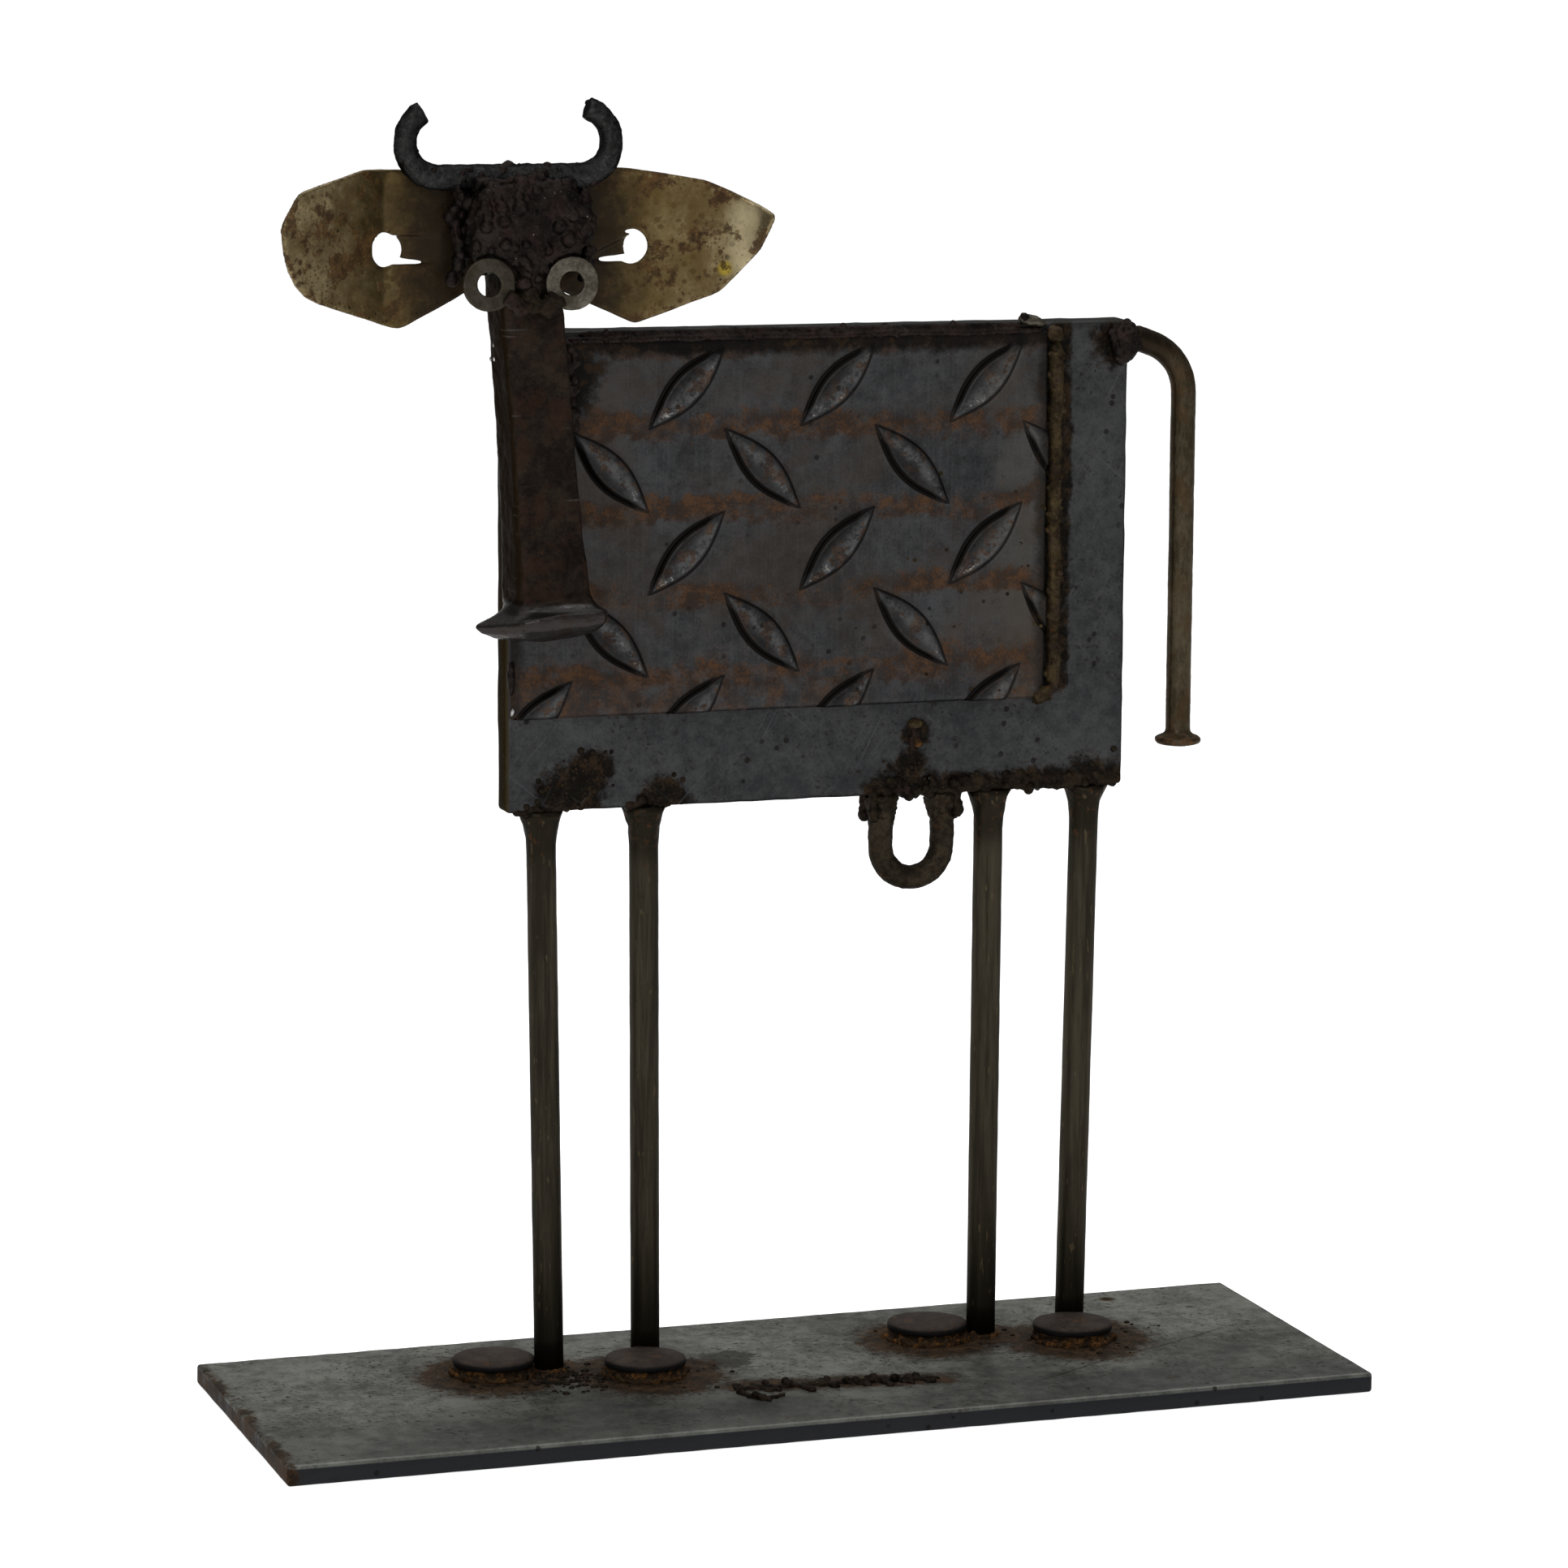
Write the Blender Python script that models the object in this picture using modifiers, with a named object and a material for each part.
"""A cow sculpture welded from steel plate, rod and odd hardware, one object for each piece.

Units are metres and +Z is up. The origin is under the middle of the base. +X runs towards
the tail, and the face looks towards -Y. Left and right are a viewer's, who stands at -Y.
"""
import math

import bmesh
import bpy
from mathutils import Matrix, Vector

# Clearance left between pieces that touch, and between a weld and what it is cut from
GAP = 0.0003

# Base: one flat bar
BASE_LENGTH = 0.262
BASE_WIDTH = 0.091
BASE_THICK = 0.0048
BASE_EDGE = 0.0009

# Body: a thick plate on edge, carried by the legs
BODY_LENGTH = 0.153
BODY_HEIGHT = 0.1112
BODY_THICK = 0.008
BODY_EDGE = 0.0012
BODY_SHIFT_X = 0.0125
BODY_SHIFT_Y = 0.017

# Hide: a piece of tread plate on the body's front face, inset from its upper left corner
TREAD_LENGTH = 0.1309
TREAD_HEIGHT = 0.0867
TREAD_THICK = 0.003
TREAD_INSET_LEFT = 0.0005
TREAD_INSET_TOP = 0.0022
LUG_LENGTH = 0.0254
LUG_WIDTH = 0.0074
LUG_PROUD = 0.00125
LUG_COLUMN_PITCH = 0.03675
LUG_ROW_PITCH = 0.0191
LUG_FIRST_X = 0.0052        # middle of the first lug from the plate's left edge
LUG_FIRST_Z = 0.0112        # and from its top edge
LUG_OVERHANG = 0.003        # a lug centred no further than this past the edge still shows
LUG_LEANS = (math.radians(-46.5), math.radians(45.7))
LUG_POINT_KEEP = 0.25       # share of the lug's length that its flat crest keeps at least
# flank of a lug from its sunk foot up: share of the half width, share of the height
LUG_FLANK = ((1.0, -0.5), (1.0, 0.0), (0.80, 0.72), (0.42, 1.0))

# Legs: four rods in a row, with a collar of weld under the body
LEG_LENGTH = 0.1332
LEG_R = 0.0035
LEG_COLLAR_R = 0.0053
LEG_COLLAR_HEIGHT = 0.008
LEG_COLLAR_FLAT = 0.25      # share of the collar's height that keeps its full width
HOOF_R = 0.0096
HOOF_HEIGHT = 0.0042
# a hoof from its top down: share of the radius, share of the height
HOOF_PROFILE = ((0.72, 0.97), (0.95, 0.88), (1.0, 0.71), (1.0, 0.55), (0.94, 0.30), (0.94, 0.0))
# name: end of the body, top in from that end, foot from the top along and across, hoof's bearing
LEGS = {
    "front_outer": (-1, 0.0094, 0.0016, -0.0010, 178),
    "front_inner": (-1, 0.0344, 0.0010, 0.0015, 253),
    "hind_inner": (1, 0.0327, -0.0009, -0.0010, 176),
    "hind_outer": (1, 0.0082, -0.0015, 0.0015, 252),
}

# Snout and neck: a square spike, head down, leaning over the hide
SPIKE_SIDE = 0.0146
SPIKE_SQUARENESS = 12       # the higher, the sharper the shank's corners
SPIKE_LENGTH = 0.0996
SPIKE_FLARE = 1.13          # how much wider the shank is just above its head
SPIKE_FLARE_LENGTH = 0.052
SPIKE_LEAN = math.radians(4.2)
SPIKE_YAW = math.radians(2.0)
SPIKE_INSET = 0.0062        # the axis at the foot, from the body's left edge
SPIKE_DROP = 0.0688         # the foot below the body's top
HEAD_HALF_WIDTH = 0.0167
HEAD_SHIFT = -0.0023
HEAD_LIP = 0.0158
HEAD_LIP_HALF = 0.0092
HEAD_WING_Y = -0.0020
HEAD_DEPTH = 0.0095
HEAD_RIM = 0.0050           # the rim's top over the spike's foot, at the wings
HEAD_LIP_RISE = 0.0024      # how much higher it stands at the lip
HEAD_DOME_Y = -0.0030
# the dome under the head: height over its lowest point, share of the head's outline
HEAD_DOME = ((0.0008, 0.50), (0.0021, 0.78), (0.0034, 0.93), (0.0045, 1.0))
HEAD_HOLLOW = (0.55, 0.0006)    # how far in from the rim the hollow is deepest, and how deep
SHANK_FILLET = (1.03, 0.0004)   # the shank's swell where it meets the head, and its height
RING_SIDES = 32

# Eyes: two washers
EYE_R = 0.0061
EYE_HOLE_R = 0.0027
EYE_THICK = 0.0012
EYE_EDGE = 0.00024
EYE_SPACING = 0.0190
EYE_SHIFT = -0.0002         # their middle from the spike's axis
EYE_BELOW_TOP = 0.0183
EYE_YAW = math.radians(-6)

# Chain: the horns are one link cut open, and the udder is half of another
CHAIN_R = 0.0030
CHAIN_BEND = 0.0077
HORN_SPAN = 0.0326          # between the middles of the two bends
HORN_SHIFT = -0.0015        # their middle from the spike's axis
HORN_COVER = 0.0016         # weld between the spike's end and the link
HORN_THIN = 0.90            # share of the bar's radius that is left in its bends
HORN_TIP_LEFT = 117
HORN_TIP_RIGHT = 77
UDDER_INSET = 0.0524        # from the body's right end
UDDER_Y = 0.0165
UDDER_DROP = 0.0234
# the weld round each of its ends: distance below the body, share of the bar's radius
UDDER_WELD = ((0.0, 1.35), (0.0015, 1.26), (0.0035, 1.10), (0.0060, 1.0))

# Ears: two bent pieces of plated sheet
EAR_SHEET = 0.0012
EAR_CREASE = 0.0303         # from the middle between the ears
EAR_SHIFT = 0.0006          # that middle from the spike's axis
EAR_MID_Z = 0.0111          # a hole's middle below the spike's top
EAR_ROOT_HEADING = math.radians(-4)
EAR_HOLE_R = 0.0039
EAR_TONGUE_WIDTH = 0.0060
EAR_TONGUE_LENGTH = 0.0090
EAR_TONGUE_TAPER = 0.0011   # how far the tongue's lower corner is drawn up
EAR_SLIT = 0.00025
EAR_TONGUE_BACK = math.radians(8)
# each hole's middle out from its crease, and how far its tongue reaches into it
LEFT_HOLE = (0.0004, -0.0006)
RIGHT_HOLE = (-0.0030, 0.0026)
FOLD_WIDTH = 0.0030
FOLD_STEPS = 3
# outlines: distance out from the crease, height over the hole, and the corner's radius
LEFT_EAR = (
    (0.006, 0.0180, 0.010), (0.0260, 0.0136, 0.005), (0.0315, 0.0065, 0.004),
    (0.0294, -0.0085, 0.014), (-0.003, -0.0179, 0.004),
)
RIGHT_EAR = (
    (-0.004, 0.0178, 0.006), (0.0145, 0.0149, 0.008), (0.0314, 0.0071, 0.0012),
    (0.0268, -0.0008, 0.014), (0.0174, -0.0105, 0.008), (-0.002, -0.0176, 0.003),
)
EAR_ROOT_TOP = 0.0178
EAR_ROOT_BOTTOM = -0.0086
LEFT_FOLDS = ((0.0, math.radians(34)),)
RIGHT_FOLDS = ((0.0, math.radians(19)), (0.023, math.radians(20)), (0.0265, math.radians(23)))

# Tail: a nail bent to a hook and butted on the body's end
TAIL_R = 0.00305
TAIL_BEND = 0.0125
TAIL_SLOPE = math.radians(20)
TAIL_START = 0.0052         # straight length before the bend
TAIL_FALL = 0.0845          # straight length after it
TAIL_BELOW_TOP = 0.0042
TAIL_Y = 0.014
TAIL_HEAD_R = 0.0058
TAIL_HEAD_THICK = 0.0024
# the nail's head from the shank down: share of its thickness, share of its radius
TAIL_HEAD = ((1.0, 0.71), (0.80, 0.96), (0.50, 1.0), (0.15, 0.94), (0.0, 0.72))
TAIL_HEAD_FILLET = 1.25     # where the shank starts to widen, as a share of the thickness

# Welds
BEAD_R = 0.0021
TOP_BEAD_R = 0.0010
BEAD_PITCH = 0.0032
BEAD_END = 0.7              # share of the radius at a bead's two ends
BEAD_RIPPLES = ((0.10, 2100, 1.0), (0.07, 970, 2.3))    # share, waves by metre in radians, phase
LUMP_WAVES = (5.1, 4.3, 7.7, 6.1)
FOREHEAD_HALF = Vector((0.0142, 0.0070, 0.0112))
FOREHEAD_SHIFT = 0.0006
EYE_POCKET = 0.0024         # how far the forehead's weld keeps back from a washer's middle
EYE_WELD_DEPTH = 0.0030
EYE_WELD_HALF_HEIGHT = 0.0080
EYE_WELD_RISE = 0.0012
NECK_WELD_HALF = Vector((0.0036, 0.0040, 0.0135))
NECK_WELD_SHIFT = Vector((0.0016, -0.0034))     # its middle from the spike's side and the sheet
TAIL_WELD_HALF = Vector((0.0038, 0.0036, 0.0050))
TAIL_WELD_SHIFT = Vector((-0.0019, -0.0016))    # its middle from the body's front right corner
TAIL_WELD_DROP = 0.0010

# Places that follow from the sizes above
BASE_TOP = BASE_THICK
BODY_BOTTOM = BASE_TOP + LEG_LENGTH
BODY_TOP = BODY_BOTTOM + BODY_HEIGHT
BODY_LEFT = BODY_SHIFT_X - BODY_LENGTH / 2
BODY_RIGHT = BODY_SHIFT_X + BODY_LENGTH / 2
BODY_FRONT = BODY_SHIFT_Y - BODY_THICK / 2
TREAD_FRONT = BODY_FRONT - GAP - TREAD_THICK
TREAD_LEFT = BODY_LEFT + TREAD_INSET_LEFT
TREAD_RIGHT = TREAD_LEFT + TREAD_LENGTH
TREAD_TOP = BODY_TOP - TREAD_INSET_TOP
TREAD_BOTTOM = TREAD_TOP - TREAD_HEIGHT
LUG_CREST = TREAD_FRONT - LUG_PROUD
SPIKE_HALF = SPIKE_SIDE / 2
SPIKE_REACH = SPIKE_HALF * (math.cos(SPIKE_YAW) + math.sin(SPIKE_YAW))
SPIKE_FOOT = Vector((BODY_LEFT + SPIKE_INSET, LUG_CREST - GAP - SPIKE_REACH, BODY_TOP - SPIKE_DROP))
SPIKE_TURN = Matrix.Rotation(SPIKE_YAW, 4, "Z") @ Matrix.Rotation(-SPIKE_LEAN, 4, "Y")
SPIKE_PLACE = Matrix.Translation(SPIKE_FOOT) @ SPIKE_TURN
SPIKE_TOP = SPIKE_PLACE @ Vector((0, 0, SPIKE_LENGTH))
HORN_Z = SPIKE_TOP.z + SPIKE_REACH * math.sin(SPIKE_LEAN) + HORN_COVER + CHAIN_R
EYE_Z = SPIKE_TOP.z - EYE_BELOW_TOP
UDDER_X = BODY_RIGHT - UDDER_INSET
EAR_Y = SPIKE_TOP.y + CHAIN_R + GAP + EAR_SHEET / 2
EAR_Z = SPIKE_TOP.z - EAR_MID_Z


def spike_axis(z):
    """The point of the spike's axis at a height."""
    return SPIKE_FOOT + (SPIKE_TOP - SPIKE_FOOT) * ((z - SPIKE_FOOT.z) / (SPIKE_TOP.z - SPIKE_FOOT.z))


def clear_scene():
    for old in list(bpy.data.objects):
        bpy.data.objects.remove(old)


def new_collection(name):
    made = bpy.data.collections.new(name)
    bpy.context.scene.collection.children.link(made)
    return made


def steel(name, colour, roughness, metallic=1.0):
    """A plain Principled metal in linear colour."""
    made = bpy.data.materials.new(name)
    made.use_nodes = True
    shader = made.node_tree.nodes["Principled BSDF"]
    shader.inputs["Base Color"].default_value = (*colour, 1.0)
    shader.inputs["Roughness"].default_value = roughness
    shader.inputs["Metallic"].default_value = metallic
    return made


def add_mesh(name, bm, material, collection):
    """Turns a finished bmesh into a named object, shaded smooth with its corners kept."""
    mesh = bpy.data.meshes.new(name)
    bm.to_mesh(mesh)
    bm.free()
    mesh.shade_smooth()
    mesh.set_sharp_from_angle(angle=math.radians(35))
    made = bpy.data.objects.new(name, mesh)
    if material:
        mesh.materials.append(material)
    collection.objects.link(made)
    return made


def as_cutter(made):
    made.hide_render = True
    made.display_type = "WIRE"
    return made


def boolean(target, cutter, operation):
    """A live EXACT Boolean with one cutter, or with every object of a collection."""
    step = target.modifiers.new(operation.lower(), "BOOLEAN")
    step.operation = operation
    step.solver = "EXACT"
    if isinstance(cutter, bpy.types.Collection):
        step.operand_type = "COLLECTION"
        step.collection = cutter
    else:
        step.object = cutter


def face_outwards(bm):
    """Makes a closed mesh's faces agree and point out, also on a thin bent sheet."""
    bmesh.ops.recalc_face_normals(bm, faces=bm.faces)
    if bm.calc_volume(signed=True) < 0:
        bmesh.ops.reverse_faces(bm, faces=bm.faces)


def box(size, centre):
    bm = bmesh.new()
    bmesh.ops.create_cube(bm, size=1.0, matrix=Matrix.Translation(centre) @ Matrix.Diagonal((*size, 1)))
    return bm


def cylinder(radius, depth):
    bm = bmesh.new()
    bmesh.ops.create_cone(bm, cap_ends=True, segments=32, radius1=radius, radius2=radius, depth=depth)
    return bm


def bevel(target, width):
    step = target.modifiers.new("edges", "BEVEL")
    step.width = width
    step.segments = 2
    step.limit_method = "ANGLE"


def turned(name, profile, sides, material, collection):
    """A solid of revolution about Z from (radius, height) pairs, listed from its top down."""
    mesh = bpy.data.meshes.new(name)
    mesh.from_pydata([(r, 0, z) for r, z in profile], [(i, i + 1) for i in range(len(profile) - 1)], [])
    made = bpy.data.objects.new(name, mesh)
    mesh.materials.append(material)
    collection.objects.link(made)
    screw = made.modifiers.new("turn", "SCREW")
    screw.steps = sides
    screw.render_steps = sides
    screw.use_merge_vertices = True
    screw.merge_threshold = 0.00002
    screw.use_smooth_shade = True
    return made


def arc(centre, radius, start, end, count):
    """Points (x, z) along a circular arc, its angles in degrees."""
    return [
        (centre[0] + radius * math.cos(math.radians(start + (end - start) * i / count)),
         centre[1] + radius * math.sin(math.radians(start + (end - start) * i / count)))
        for i in range(count + 1)
    ]


def rod(name, points, radius, material, collection, swell=None, sides_level=4):
    """A round bar along points, where swell gives each point's share of the radius."""
    curve = bpy.data.curves.new(name, "CURVE")
    curve.dimensions = "3D"
    curve.bevel_depth = radius
    curve.bevel_resolution = sides_level
    curve.use_fill_caps = True
    curve.materials.append(material)
    spline = curve.splines.new("POLY")
    spline.points.add(len(points) - 1)
    for index, (point, place) in enumerate(zip(spline.points, points)):
        point.co = (*place, 1)
        point.radius = swell[index] if swell else 1.0
    made = bpy.data.objects.new(name, curve)
    collection.objects.link(made)
    return made


def ripple(distance, phase):
    """The uneven share of a weld bead's radius at a distance along it, never above 1."""
    waves = sum(share * math.sin(distance * rate + turn * phase) for share, rate, turn in BEAD_RIPPLES)
    return (1 + waves) / (1 + sum(share for share, _, _ in BEAD_RIPPLES))


def bead(name, start, end, radius, phase, material, collection):
    """A weld run between two points, swelling and thinning a little."""
    length = (end - start).length
    count = round(length / BEAD_PITCH)
    points = [start.lerp(end, i / count) for i in range(count + 1)]
    swell = [ripple(length * i / count, phase) for i in range(count + 1)]
    swell[0] *= BEAD_END
    swell[-1] *= BEAD_END
    rod(name, points, radius, material, collection, swell, sides_level=2)


def lump(centre, half, phase, detail=3, square=3.0, rough=0.05):
    """A closed blob of weld: a box with round shoulders, pushed in and out a little."""
    bm = bmesh.new()
    bmesh.ops.create_icosphere(bm, subdivisions=detail, radius=1.0)
    for vert in bm.verts:
        way = vert.co.normalized()
        norm = sum(abs(part) ** square for part in way) ** (1 / square)
        wave = math.sin(LUMP_WAVES[0] * way.x + phase) * math.cos(LUMP_WAVES[1] * way.z + 2 * phase)
        wave += math.sin(LUMP_WAVES[2] * way.y + LUMP_WAVES[3] * way.z + phase)
        reach = (1 - rough) + rough * wave / 2
        vert.co = centre + Vector(part * size for part, size in zip(way / norm, half)) * reach
    return bm


def make_base(collection, paint):
    base = add_mesh("base_plate", box((BASE_LENGTH, BASE_WIDTH, BASE_THICK), (0, 0, BASE_THICK / 2)),
                    paint["base_steel"], collection)
    bevel(base, BASE_EDGE)


def make_body(collection, paint):
    centre = (BODY_SHIFT_X, BODY_SHIFT_Y, (BODY_BOTTOM + BODY_TOP) / 2)
    body = add_mesh("body_plate", box((BODY_LENGTH, BODY_THICK, BODY_HEIGHT), centre),
                    paint["body_steel"], collection)
    bevel(body, BODY_EDGE)


def lug(centre_x, centre_z, lean, grow=0.0):
    """One raised tread lug: a pointed lens with sloping flanks and a rounded crest."""
    half_length = LUG_LENGTH / 2 + grow
    half_width = LUG_WIDTH / 2 + grow
    side = 6
    bm = bmesh.new()
    rings = []
    for share, height in LUG_FLANK:
        ring = []
        for step in range(2 * side):
            along = step / side if step < side else 2 - step / side
            bulge = math.sin(math.pi * along) * (1 if step < side else -1)
            spine = half_length * (2 * along - 1) * (LUG_POINT_KEEP + (1 - LUG_POINT_KEEP) * share)
            depth = -height * (LUG_PROUD + grow)
            ring.append(bm.verts.new((spine, depth, bulge * half_width * share)))
        rings.append(ring)
    for low, high in zip(rings, rings[1:]):
        for i in range(len(low)):
            bm.faces.new((low[i - 1], low[i], high[i], high[i - 1]))
    bm.faces.new(rings[0])
    bm.faces.new(reversed(rings[-1]))
    face_outwards(bm)
    turn = Matrix.Rotation(lean, 4, "Y")
    bm.transform(Matrix.Translation((centre_x, TREAD_FRONT, centre_z)) @ turn)
    return bm


def lug_places():
    """Each lug's middle and lean, in rows that lean by turns and shift by half a pitch."""
    rows = math.ceil((TREAD_HEIGHT + LUG_OVERHANG) / LUG_ROW_PITCH) + 1
    columns = math.ceil((TREAD_LENGTH + LUG_OVERHANG) / LUG_COLUMN_PITCH) + 1
    for row in range(rows):
        z = TREAD_TOP - LUG_FIRST_Z - row * LUG_ROW_PITCH
        for column in range(columns):
            x = TREAD_LEFT + LUG_FIRST_X + column * LUG_COLUMN_PITCH
            x += (row % 2) * LUG_COLUMN_PITCH / 2
            if z > TREAD_BOTTOM - LUG_OVERHANG and x < TREAD_RIGHT + LUG_OVERHANG:
                yield x, z, LUG_LEANS[row % 2]


def make_tread(collection, cutters, paint):
    middle = Vector(((TREAD_LEFT + TREAD_RIGHT) / 2, TREAD_FRONT, (TREAD_BOTTOM + TREAD_TOP) / 2))
    stock = Vector((TREAD_LENGTH + LUG_LENGTH, 2 * TREAD_THICK, TREAD_HEIGHT + LUG_LENGTH))
    sheet = box(stock, middle + Vector((0, TREAD_THICK, 0)))
    tread = add_mesh("tread_plate", sheet, paint["tread_steel"], collection)
    lugs = new_collection("tread_lugs")
    for x, z, lean in lug_places():
        as_cutter(add_mesh("lug", lug(x, z, lean), None, lugs))
    boolean(tread, lugs, "UNION")
    shear = box((TREAD_LENGTH, 2 * TREAD_THICK, TREAD_HEIGHT), middle)
    boolean(tread, as_cutter(add_mesh("tread_shear", shear, None, cutters)), "INTERSECT")


def make_legs(collection, paint):
    for name, (end, inset, along, across, bearing) in LEGS.items():
        high = Vector((BODY_SHIFT_X + end * (BODY_LENGTH / 2 - inset), BODY_SHIFT_Y, BODY_BOTTOM - GAP))
        low = Vector((high.x + along, BODY_SHIFT_Y + across, BASE_TOP + GAP))
        length = (high - low).length
        profile = [(0, length), (LEG_COLLAR_R, length)]
        for step in range(5):
            share = step / 4
            flare = (LEG_COLLAR_R - LEG_R) * (1 - share) ** 2
            drop = LEG_COLLAR_HEIGHT * (LEG_COLLAR_FLAT + (1 - LEG_COLLAR_FLAT) * share)
            profile.append((LEG_R + flare, length - drop))
        profile += [(LEG_R, 0), (0, 0)]
        leg = turned(f"leg_{name}", profile, 16, paint["rod_steel"], collection)
        leg.location = low
        leg.rotation_euler = (high - low).to_track_quat("Z", "Y").to_euler()

        reach = HOOF_R + LEG_R + GAP
        angle = math.radians(bearing)
        profile = [(HOOF_R * wide, HOOF_HEIGHT * high) for wide, high in ((0, 1), *HOOF_PROFILE, (0, 0))]
        hoof = turned(f"hoof_{name}", profile, 28, paint["slug_steel"], collection)
        hoof.location = low + Vector((math.cos(angle), math.sin(angle), 0)) * reach


def square_ring(half):
    """Radius against angle of a square section with slightly rounded corners."""
    power = SPIKE_SQUARENESS

    def radius(angle):
        return half / (abs(math.cos(angle)) ** power + abs(math.sin(angle)) ** power) ** (1 / power)
    return radius


def head_ring(grow):
    """Radius against angle of the spike's head: wings at the sides and a broad lip in front."""
    corners = [
        Vector((HEAD_SHIFT + HEAD_HALF_WIDTH, HEAD_WING_Y)), Vector((SPIKE_HALF, SPIKE_HALF)),
        Vector((-SPIKE_HALF, SPIKE_HALF)), Vector((HEAD_SHIFT - HEAD_HALF_WIDTH, HEAD_WING_Y)),
        Vector((-HEAD_LIP_HALF, -HEAD_LIP)), Vector((HEAD_LIP_HALF, -HEAD_LIP)),
    ]

    def radius(angle):
        way = Vector((math.cos(angle), math.sin(angle)))
        hits = []
        for first, second in zip(corners, corners[1:] + corners[:1]):
            edge = second - first
            across = way.x * edge.y - way.y * edge.x
            along = (first.x * way.y - first.y * way.x) / across if across else -1
            distance = (first.x * edge.y - first.y * edge.x) / across if across else -1
            if 0 <= along <= 1 and distance > 0:
                hits.append(distance)
        return min(hits) + grow
    return radius


def loft(rings, low_pole):
    """Skins equal rings of points, closed by a pole below and a flat cap on top."""
    bm = bmesh.new()
    made = [[bm.verts.new(point) for point in ring] for ring in rings]
    for low, high in zip(made, made[1:]):
        for i in range(len(low)):
            bm.faces.new((low[i - 1], low[i], high[i], high[i - 1]))
    pole = bm.verts.new(low_pole)
    for i in range(len(made[0])):
        bm.faces.new((pole, made[0][i], made[0][i - 1]))
    bm.faces.new(made[-1])
    face_outwards(bm)
    return bm


def spike_mesh(grow=0.0):
    """The spike standing on its domed head, axis on Z; grow swells it for use as a cutter."""
    head = head_ring(grow)
    angles = [math.tau * i / RING_SIDES for i in range(RING_SIDES)]

    def rim_top(angle):
        lip = max(0.0, -math.sin(angle)) ** 2
        return HEAD_RIM + HEAD_LIP_RISE * lip + grow

    def ring(radius, height, share=1.0, forward=0.0):
        points = []
        for angle in angles:
            out = share * radius(angle)
            y = out * math.sin(angle) + (1 - share) * HEAD_DOME_Y - forward
            z = height(angle) if callable(height) else height
            points.append(Vector((out * math.cos(angle), y, z)))
        return points

    def shank(half, height):
        """A square ring whose back stays in the plane of the shank's back."""
        return ring(square_ring(half + grow), height, forward=half - SPIKE_HALF)

    rings = [ring(head, height - grow, share) for height, share in HEAD_DOME]
    rings.append(ring(head, rim_top))
    neck = SPIKE_HALF * SPIKE_FLARE * SHANK_FILLET[0]
    sunk = Vector((0, 0, HEAD_HOLLOW[1]))
    rings += [
        [low.lerp(high, HEAD_HOLLOW[0]) - sunk for low, high in zip(rings[-1], shank(neck, HEAD_DEPTH))],
        shank(neck, HEAD_DEPTH + SHANK_FILLET[1]),
    ]
    for step in range(1, 5):
        share = step / 4
        half = SPIKE_HALF * (1 + (SPIKE_FLARE - 1) * (1 - share) ** 2)
        rings.append(shank(half, HEAD_DEPTH + SPIKE_FLARE_LENGTH * share))
    rings.append(shank(SPIKE_HALF, SPIKE_LENGTH + grow))
    bm = loft(rings, Vector((0, HEAD_DOME_Y, -grow)))
    bm.transform(SPIKE_PLACE)
    return bm


def eye_places():
    """Each washer's middle and turn, seated on the spike's front face."""
    axis = spike_axis(EYE_Z)
    corner = axis + SPIKE_TURN @ Vector((-SPIKE_HALF, -SPIKE_HALF, 0))
    for name, side in (("left", -1), ("right", 1)):
        x = axis.x + EYE_SHIFT + side * EYE_SPACING / 2
        seat_x = max(corner.x, x - EYE_R)
        seat_y = corner.y + (seat_x - corner.x) * math.tan(SPIKE_YAW) - GAP
        y = seat_y + (x - seat_x) * math.tan(EYE_YAW) - EYE_THICK / 2 / math.cos(EYE_YAW)
        place = Matrix.Translation((x, y, EYE_Z)) @ Matrix.Rotation(EYE_YAW, 4, "Z")
        yield name, place @ Matrix.Rotation(math.pi / 2, 4, "X")


def make_eyes(collection, paint):
    half = EYE_THICK / 2
    flat_r = EYE_R - EYE_EDGE
    outer = [(flat_r, half), (EYE_R, half - EYE_EDGE), (EYE_R, EYE_EDGE - half), (flat_r, -half)]
    inner = [(EYE_HOLE_R, -half), (EYE_HOLE_R, half), (flat_r, half)]
    for name, place in eye_places():
        eye = turned(f"eye_washer_{name}", outer + inner, 24, paint["washer_zinc"], collection)
        eye.matrix_world = place


def make_spike(collection, paint):
    add_mesh("snout_spike", spike_mesh(), paint["spike_iron"], collection)


def make_horns(collection, paint):
    left_x = SPIKE_TOP.x + HORN_SHIFT - HORN_SPAN / 2
    right_x = left_x + HORN_SPAN
    centre_z = HORN_Z + CHAIN_BEND
    left = arc((left_x, centre_z), CHAIN_BEND, HORN_TIP_LEFT, 270, 14)
    right = arc((right_x, centre_z), CHAIN_BEND, -90, HORN_TIP_RIGHT, 15)
    points = [(x, SPIKE_TOP.y, z) for x, z in left + right]
    swell = [1 - (1 - HORN_THIN) * min(1, (z - HORN_Z) / CHAIN_BEND) for _, _, z in points]
    rod("horns", points, CHAIN_R, paint["chain_steel"], collection, swell)


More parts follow.
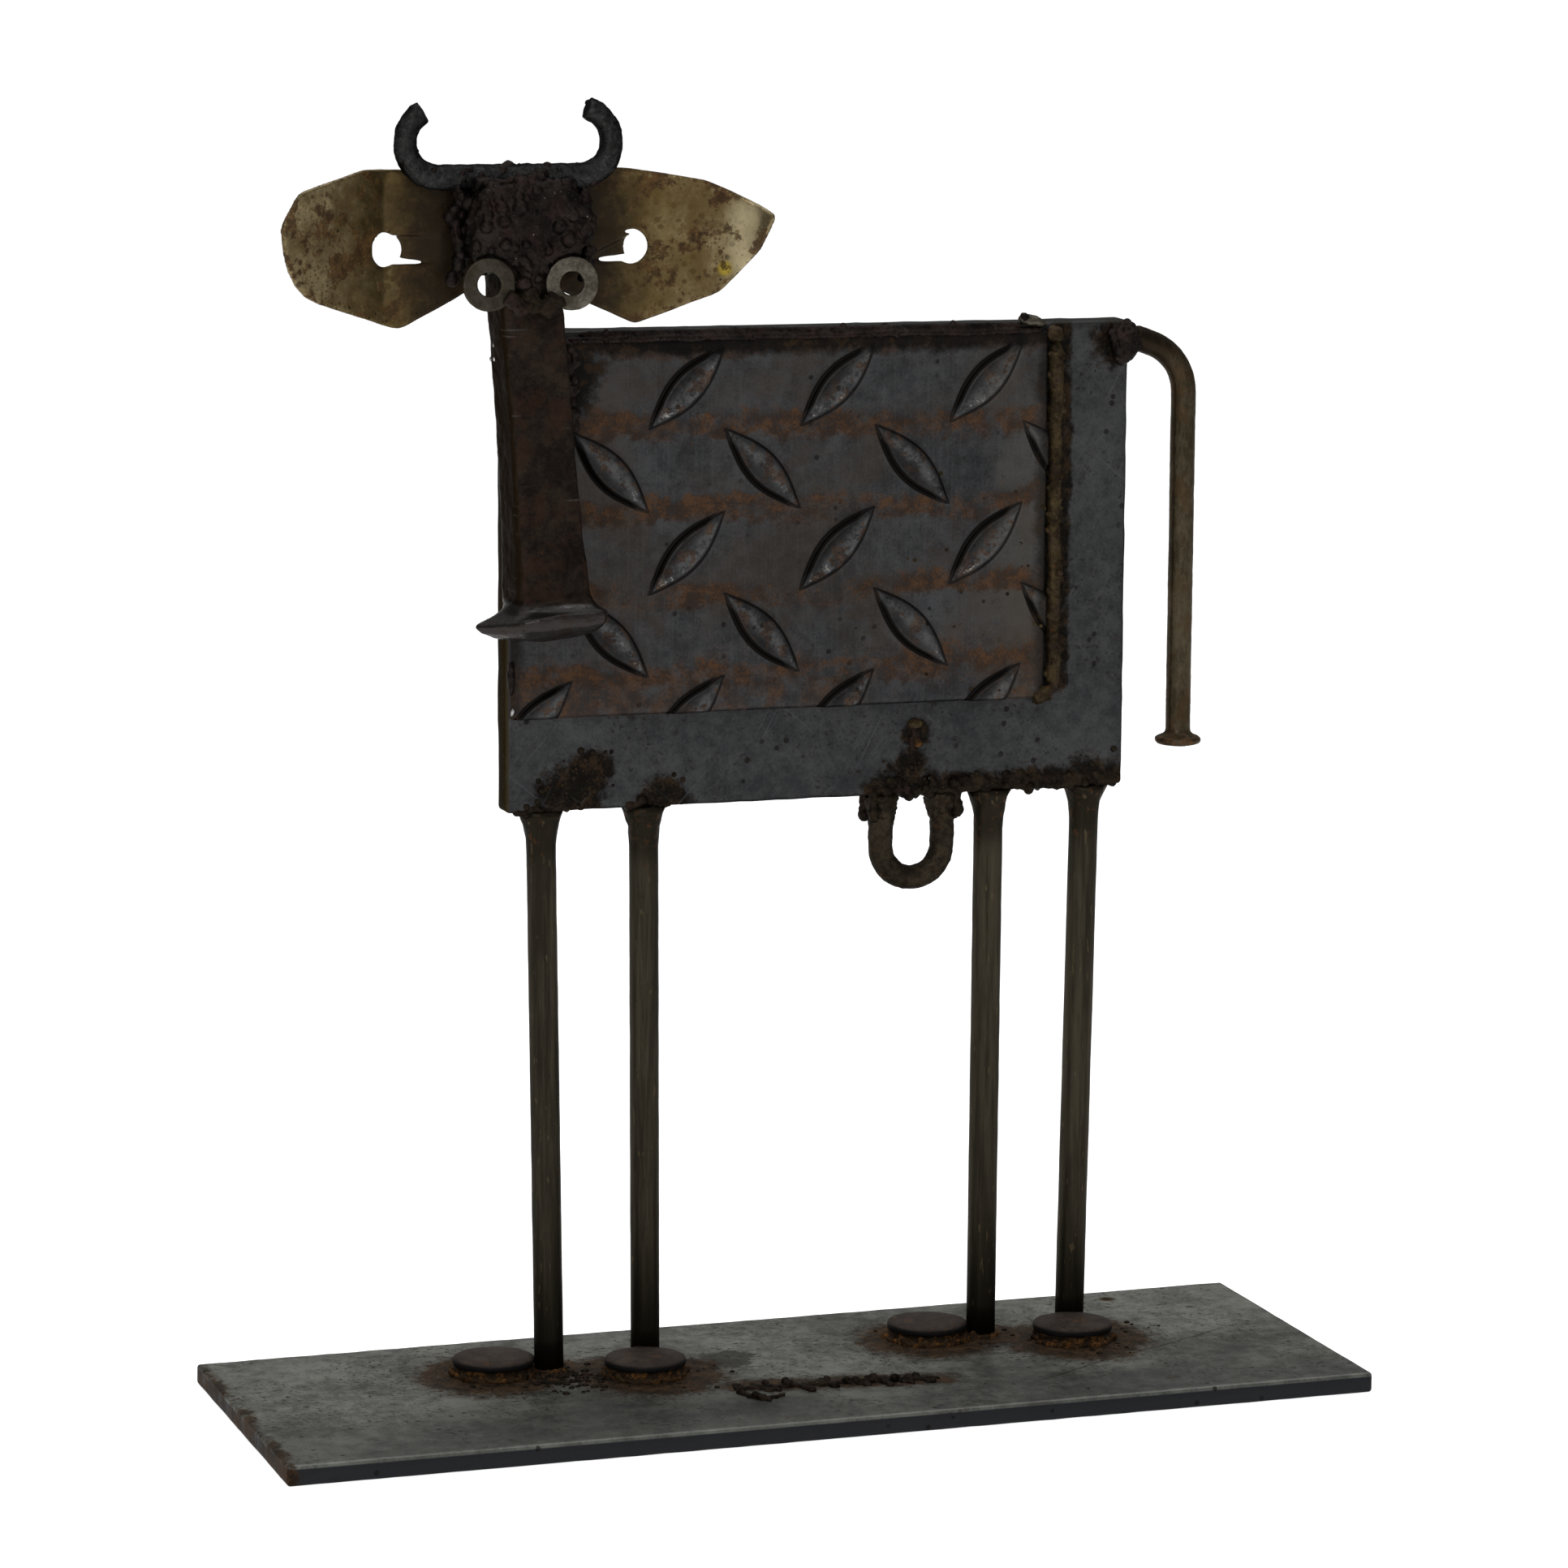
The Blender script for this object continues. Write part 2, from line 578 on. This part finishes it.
def make_udder(collection, paint):
    centre_z = BODY_BOTTOM - UDDER_DROP + CHAIN_R + CHAIN_BEND
    top = BODY_BOTTOM - GAP
    bend = arc((UDDER_X, centre_z), CHAIN_BEND, 180, 360, 16)
    down = [(UDDER_X - CHAIN_BEND, top - drop) for drop, _ in UDDER_WELD]
    up = [(UDDER_X + CHAIN_BEND, top - drop) for drop, _ in reversed(UDDER_WELD)]
    points = [(x, UDDER_Y, z) for x, z in down + bend + up]
    swells = [share for _, share in UDDER_WELD]
    swell = swells + [1.0] * len(bend) + swells[::-1]
    rod("udder_loop", points, CHAIN_R, paint["chain_steel"], collection, swell)


def filleted(corners):
    """A closed outline through corners, each with its own radius."""
    outline = []
    for index, (u, z, radius) in enumerate(corners):
        here = Vector((u, z))
        back = (Vector(corners[index - 1][:2]) - here).normalized()
        ahead = (Vector(corners[(index + 1) % len(corners)][:2]) - here).normalized()
        half = back.angle(ahead) / 2
        if not radius:
            outline.append(here)
            continue
        centre = here + (back + ahead).normalized() * radius / math.sin(half)
        start = here + back * radius / math.tan(half) - centre
        end = here + ahead * radius / math.tan(half) - centre
        turn = math.atan2(start.x * end.y - start.y * end.x, start.dot(end))
        steps = max(2, round(abs(turn) / math.radians(18)))
        first = math.atan2(start.y, start.x)
        for step in range(steps + 1):
            angle = first + turn * step / steps
            outline.append(centre + Vector((math.cos(angle), math.sin(angle))) * radius)
    return outline


def lanced_hole(middle, reach):
    """The hole's outline: a circle with two slits that free a tongue on its inner side."""
    half = EAR_TONGUE_WIDTH / 2
    outer = math.degrees(math.asin((half + EAR_SLIT) / EAR_HOLE_R))
    upper = math.degrees(math.asin(half / EAR_HOLE_R))
    lower = math.degrees(math.asin((half - EAR_TONGUE_TAPER) / EAR_HOLE_R))
    hinge = middle - EAR_HOLE_R - EAR_TONGUE_LENGTH
    path = arc((middle, 0), EAR_HOLE_R, outer - 180, 180 - outer, 18)
    path += [(hinge, half + EAR_SLIT), (hinge, half)]
    path += arc((middle + reach, 0), EAR_HOLE_R, 180 - upper, 180 + lower, 6)
    path += [(hinge, -half), (hinge, -half - EAR_SLIT)]
    return [Vector(point) for point in path], hinge


def flat_sheet(outlines, thickness):
    """A flat plate in XY from an outline and its holes, as a closed bmesh."""
    curve = bpy.data.curves.new("sheet", "CURVE")
    curve.dimensions = "2D"
    curve.fill_mode = "BOTH"
    curve.extrude = thickness / 2
    for outline in outlines:
        spline = curve.splines.new("POLY")
        spline.points.add(len(outline) - 1)
        for point, place in zip(spline.points, outline):
            point.co = (place.x, place.y, 0, 1)
        spline.use_cyclic_u = True
    holder = bpy.data.objects.new("sheet", curve)
    bpy.context.scene.collection.objects.link(holder)
    solid = holder.evaluated_get(bpy.context.evaluated_depsgraph_get())
    mesh = bpy.data.meshes.new_from_object(solid)
    bm = bmesh.new()
    bm.from_mesh(mesh)
    bmesh.ops.remove_doubles(bm, verts=bm.verts, dist=1e-6)
    bpy.data.objects.remove(holder)
    bpy.data.curves.remove(curve)
    bpy.data.meshes.remove(mesh)
    return bm


def fold_lines(root, folds):
    """Where the sheet's heading changes, as (distance, plan point, heading before, after)."""
    lines = []
    heading = EAR_ROOT_HEADING
    here = Vector((0.0, 0.0))
    at = root
    for middle, turn in folds:
        for step in range(FOLD_STEPS):
            line = middle + FOLD_WIDTH * ((step + 0.5) / FOLD_STEPS - 0.5)
            here = here + Vector((math.cos(heading), -math.sin(heading))) * (line - at)
            at = line
            lines.append((line, here.copy(), heading, heading + turn / FOLD_STEPS))
            heading += turn / FOLD_STEPS
    return lines


def bend_sheet(bm, root, folds, hinge):
    """Cuts the flat sheet along its folds and swings every point into plan."""
    lines = fold_lines(root, folds)
    for distance in [line[0] for line in lines] + [hinge]:
        bmesh.ops.bisect_plane(bm, geom=bm.verts[:] + bm.edges[:] + bm.faces[:], dist=1e-7,
                               plane_co=(distance, 0, 0), plane_no=(1, 0, 0))
    for vert in bm.verts:
        u, z, offset = vert.co
        on_tongue = abs(z) < (EAR_TONGUE_WIDTH + EAR_SLIT) / 2
        if on_tongue and hinge < u < hinge + EAR_TONGUE_LENGTH + EAR_HOLE_R:
            offset += (u - hinge) * math.tan(EAR_TONGUE_BACK)
        at, start, heading = root, Vector((0.0, 0.0)), EAR_ROOT_HEADING
        lean = heading
        for distance, point, before, after in lines:
            if u > distance - 1e-7:
                at, start, heading = distance, point, after
                lean = (before + after) / 2 if abs(u - distance) < 1e-6 else after
        plan = start + Vector((math.cos(heading), -math.sin(heading))) * (u - at)
        plan += Vector((math.sin(lean), math.cos(lean))) * offset
        vert.co = (plan.x, plan.y, z)


def make_ear(name, side, corners, folds, lance, collection, paint):
    """A sheet ear whose root butts on the spike, with side -1 to the left and 1 to the right."""
    root_top = EAR_Z + EAR_ROOT_TOP
    nearest = root_top if side < 0 else EAR_Z + EAR_ROOT_BOTTOM
    root_x = spike_axis(nearest).x + side * (SPIKE_REACH + GAP)
    crease_x = spike_axis(EAR_Z).x + EAR_SHIFT + side * EAR_CREASE
    root = -abs(crease_x - root_x) / math.cos(EAR_ROOT_HEADING)
    outline = filleted([(root, EAR_ROOT_TOP, 0), *corners, (root, EAR_ROOT_BOTTOM, 0)])
    hole, hinge = lanced_hole(*lance)
    bm = flat_sheet([outline, hole], EAR_SHEET)
    bend_sheet(bm, root, folds, hinge)
    bm.transform(Matrix.Translation((root_x, EAR_Y, EAR_Z)) @ Matrix.Diagonal((side, 1, 1, 1)))
    face_outwards(bm)
    add_mesh(name, bm, paint["plated_sheet"], collection)


def tail_start():
    """The tail's first point, where its end face meets the body's end."""
    clear = GAP + TAIL_R * math.sin(TAIL_SLOPE)
    return Vector((BODY_RIGHT + clear, TAIL_Y, BODY_TOP - TAIL_BELOW_TOP))


def make_tail(collection, paint):
    start = tail_start()
    bend_start = start + Vector((math.cos(TAIL_SLOPE), 0, -math.sin(TAIL_SLOPE))) * TAIL_START
    centre_x = bend_start.x - TAIL_BEND * math.sin(TAIL_SLOPE)
    centre_z = bend_start.z - TAIL_BEND * math.cos(TAIL_SLOPE)
    bend = arc((centre_x, centre_z), TAIL_BEND, 90 - math.degrees(TAIL_SLOPE), 0, 10)
    foot_x, foot_z = centre_x + TAIL_BEND, centre_z - TAIL_FALL
    line = [(start.x, start.z)] + bend + [(foot_x, foot_z + TAIL_HEAD_THICK * TAIL_HEAD_FILLET)]
    swell = [1.0] * len(line)
    for height, share in TAIL_HEAD:
        line.append((foot_x, foot_z + TAIL_HEAD_THICK * height))
        swell.append(share * TAIL_HEAD_R / TAIL_R)
    rod("tail_nail", [(x, TAIL_Y, z) for x, z in line], TAIL_R, paint["nail_steel"], collection, swell)


def make_tread_welds(collection, paint):
    x = TREAD_RIGHT + GAP + BEAD_R
    y = BODY_FRONT - GAP - BEAD_R
    bead("tread_weld_side", Vector((x, y, TREAD_BOTTOM)), Vector((x, y, TREAD_TOP - GAP)), BEAD_R, 0.4,
         paint["weld_metal"], collection)
    y = BODY_FRONT - GAP - TOP_BEAD_R
    z = TREAD_TOP + GAP + TOP_BEAD_R
    start_x = spike_axis(BODY_TOP).x + SPIKE_REACH + 2 * NECK_WELD_HALF.x
    bead("tread_weld_top", Vector((start_x, y, z)), Vector((TREAD_RIGHT, y, z)), TOP_BEAD_R, 1.9,
         paint["weld_metal"], collection)


def grown_tread():
    """Cutters for the tread plate and its lugs, swelled by the clearance."""
    group = new_collection("grown_tread")
    size = (TREAD_LENGTH + 2 * GAP, TREAD_THICK + 2 * GAP, TREAD_HEIGHT + 2 * GAP)
    centre = ((TREAD_LEFT + TREAD_RIGHT) / 2, TREAD_FRONT + TREAD_THICK / 2, (TREAD_BOTTOM + TREAD_TOP) / 2)
    as_cutter(add_mesh("grown_tread", box(size, centre), None, group))
    axis_x = spike_axis(TREAD_TOP).x
    for x, z, lean in lug_places():
        if abs(x - axis_x) < LUG_COLUMN_PITCH and z > TREAD_TOP - 3 * LUG_ROW_PITCH:
            as_cutter(add_mesh("grown_lug", lug(x, z, lean, GAP), None, group))
    return group


def make_head_welds(collection, cutters, paint):
    """The weld that joins horns, ears, eyes and spike, and the one between spike and hide."""
    spike = as_cutter(add_mesh("grown_spike", spike_mesh(GAP), None, cutters))

    top = HORN_Z
    back = EAR_Y - EAR_SHEET / 2 - GAP
    middle_x = spike_axis(top - FOREHEAD_HALF.z).x + FOREHEAD_SHIFT
    centre = Vector((middle_x, back - FOREHEAD_HALF.y, top - FOREHEAD_HALF.z))
    forehead = add_mesh("forehead_weld", lump(centre, FOREHEAD_HALF, 0.8, rough=0.06, square=3.6),
                        paint["weld_metal"], collection)
    half = Vector((EYE_SPACING / 2 - EYE_R - GAP, EYE_WELD_DEPTH, EYE_WELD_HALF_HEIGHT))
    corner_y = (spike_axis(EYE_Z) + SPIKE_TURN @ Vector((EYE_SHIFT, -SPIKE_HALF, 0))).y
    centre = Vector((spike_axis(EYE_Z).x + EYE_SHIFT, corner_y, EYE_Z + EYE_WELD_RISE))
    bridge = as_cutter(add_mesh("eye_bridge", lump(centre, half, 2.1, detail=2, square=4.0), None, cutters))
    boolean(forehead, bridge, "UNION")
    boolean(forehead, spike, "DIFFERENCE")
    bar_middle = Vector((SPIKE_TOP.x, SPIKE_TOP.y, HORN_Z))
    bar_place = Matrix.Translation(bar_middle) @ Matrix.Rotation(math.pi / 2, 4, "Y")
    pockets = [("grown_bar", bar_place, CHAIN_R, HORN_SPAN)]
    pockets += [(f"grown_eye_{name}", place, EYE_R, 2 * EYE_POCKET) for name, place in eye_places()]
    for name, place, radius, depth in pockets:
        pocket = as_cutter(add_mesh(name, cylinder(radius + GAP, depth), None, cutters))
        pocket.matrix_world = place
        boolean(forehead, pocket, "DIFFERENCE")

    middle_z = BODY_TOP - NECK_WELD_HALF.z
    x = spike_axis(middle_z).x + SPIKE_REACH + NECK_WELD_SHIFT.x
    centre = Vector((x, TREAD_FRONT + NECK_WELD_SHIFT.y, middle_z))
    neck = add_mesh("neck_weld", lump(centre, NECK_WELD_HALF, 1.4, detail=2), paint["weld_metal"],
                    collection)
    boolean(neck, spike, "DIFFERENCE")
    boolean(neck, grown_tread(), "DIFFERENCE")


def make_tail_weld(collection, cutters, paint):
    start = tail_start()
    corner = Vector((BODY_RIGHT, BODY_FRONT)) + TAIL_WELD_SHIFT
    centre = Vector((*corner, start.z - TAIL_WELD_DROP))
    weld = add_mesh("tail_weld", lump(centre, TAIL_WELD_HALF, 2.9, detail=2, square=2.4),
                    paint["weld_metal"], collection)
    size = (BODY_LENGTH + 2 * GAP, BODY_THICK + 2 * GAP, BODY_HEIGHT + 2 * GAP)
    block = box(size, (BODY_SHIFT_X, BODY_SHIFT_Y, (BODY_BOTTOM + BODY_TOP) / 2))
    boolean(weld, as_cutter(add_mesh("grown_body", block, None, cutters)), "DIFFERENCE")
    bead_end = TREAD_RIGHT + 2 * BEAD_R + 2 * GAP
    size = Vector((BODY_LENGTH, 2 * BODY_THICK, BODY_HEIGHT))
    bead_room = box(size, (bead_end - size.x / 2, BODY_FRONT, BODY_TOP))
    boolean(weld, as_cutter(add_mesh("bead_room", bead_room, None, cutters)), "DIFFERENCE")
    reach = 4 * TAIL_R
    along = Vector((math.cos(TAIL_SLOPE), 0, -math.sin(TAIL_SLOPE)))
    turn = Matrix.Rotation(math.pi / 2 + TAIL_SLOPE, 4, "Y")
    tail = as_cutter(add_mesh("grown_tail", cylinder(TAIL_R + GAP, reach), None, cutters))
    tail.matrix_world = Matrix.Translation(start + along * (reach / 2 - GAP)) @ turn
    boolean(weld, tail, "DIFFERENCE")


def main():
    clear_scene()
    cow = new_collection("welded_cow")
    cutters = new_collection("cutters")
    paint = {
        "base_steel": steel("base_steel", (0.060, 0.062, 0.058), 0.50, 0.85),
        "body_steel": steel("body_steel", (0.032, 0.034, 0.038), 0.42, 0.85),
        "tread_steel": steel("tread_steel", (0.036, 0.034, 0.034), 0.42, 0.80),
        "rod_steel": steel("rod_steel", (0.040, 0.036, 0.026), 0.45, 0.80),
        "slug_steel": steel("slug_steel", (0.045, 0.028, 0.020), 0.60, 0.60),
        "nail_steel": steel("nail_steel", (0.050, 0.042, 0.028), 0.42, 0.80),
        "chain_steel": steel("chain_steel", (0.024, 0.024, 0.026), 0.50, 0.75),
        "spike_iron": steel("spike_iron", (0.030, 0.020, 0.016), 0.48, 0.70),
        "washer_zinc": steel("washer_zinc", (0.110, 0.108, 0.102), 0.45, 0.90),
        "plated_sheet": steel("plated_sheet", (0.240, 0.195, 0.090), 0.38, 0.90),
        "weld_metal": steel("weld_metal", (0.022, 0.016, 0.012), 0.62, 0.50),
    }
    make_base(cow, paint)
    make_body(cow, paint)
    make_tread(cow, cutters, paint)
    make_legs(cow, paint)
    make_spike(cow, paint)
    make_eyes(cow, paint)
    make_horns(cow, paint)
    make_udder(cow, paint)
    make_ear("ear_left", -1, LEFT_EAR, LEFT_FOLDS, LEFT_HOLE, cow, paint)
    make_ear("ear_right", 1, RIGHT_EAR, RIGHT_FOLDS, RIGHT_HOLE, cow, paint)
    make_tail(cow, paint)
    make_tread_welds(cow, paint)
    make_head_welds(cow, cutters, paint)
    make_tail_weld(cow, cutters, paint)


main()
